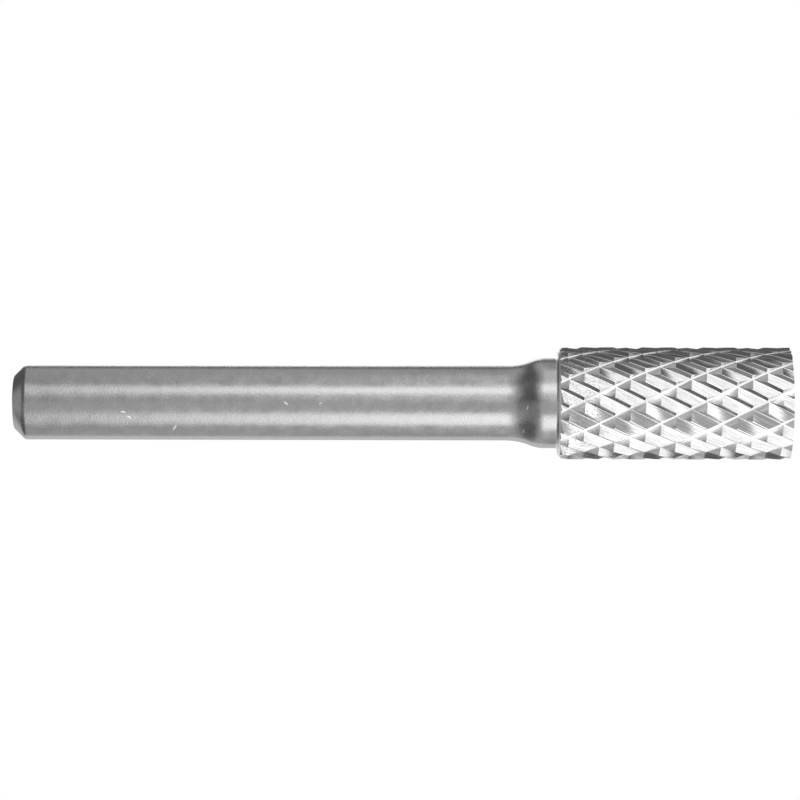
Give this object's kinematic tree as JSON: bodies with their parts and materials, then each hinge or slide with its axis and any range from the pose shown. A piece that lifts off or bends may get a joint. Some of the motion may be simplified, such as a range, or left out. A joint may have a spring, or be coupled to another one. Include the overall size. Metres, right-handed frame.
{
  "type": "carbide burr",
  "caption": "Cylindrical cross-cut carbide rotary burr: plain-ended toothed head brazed to a wider collar on a straight round steel shank.",
  "frame": {"origin": "centre of the flat nose of the cutting head", "axes": "+Z along the burr's axis, from the nose of the head to the free end of the shank; the burr stands on its nose. X and Y are radial."},
  "size_m": [0.0096, 0.0096, 0.0658],
  "materials": {
    "shank_steel": "satin, finely blasted",
    "braze": "silver braze, as flowed",
    "carbide": "bright ground tungsten carbide"
  },
  "bodies": {
    "root": {"shank": "shank_steel", "braze_joint": "braze", "carbide_head": "carbide"}
  },
  "joints": []
}
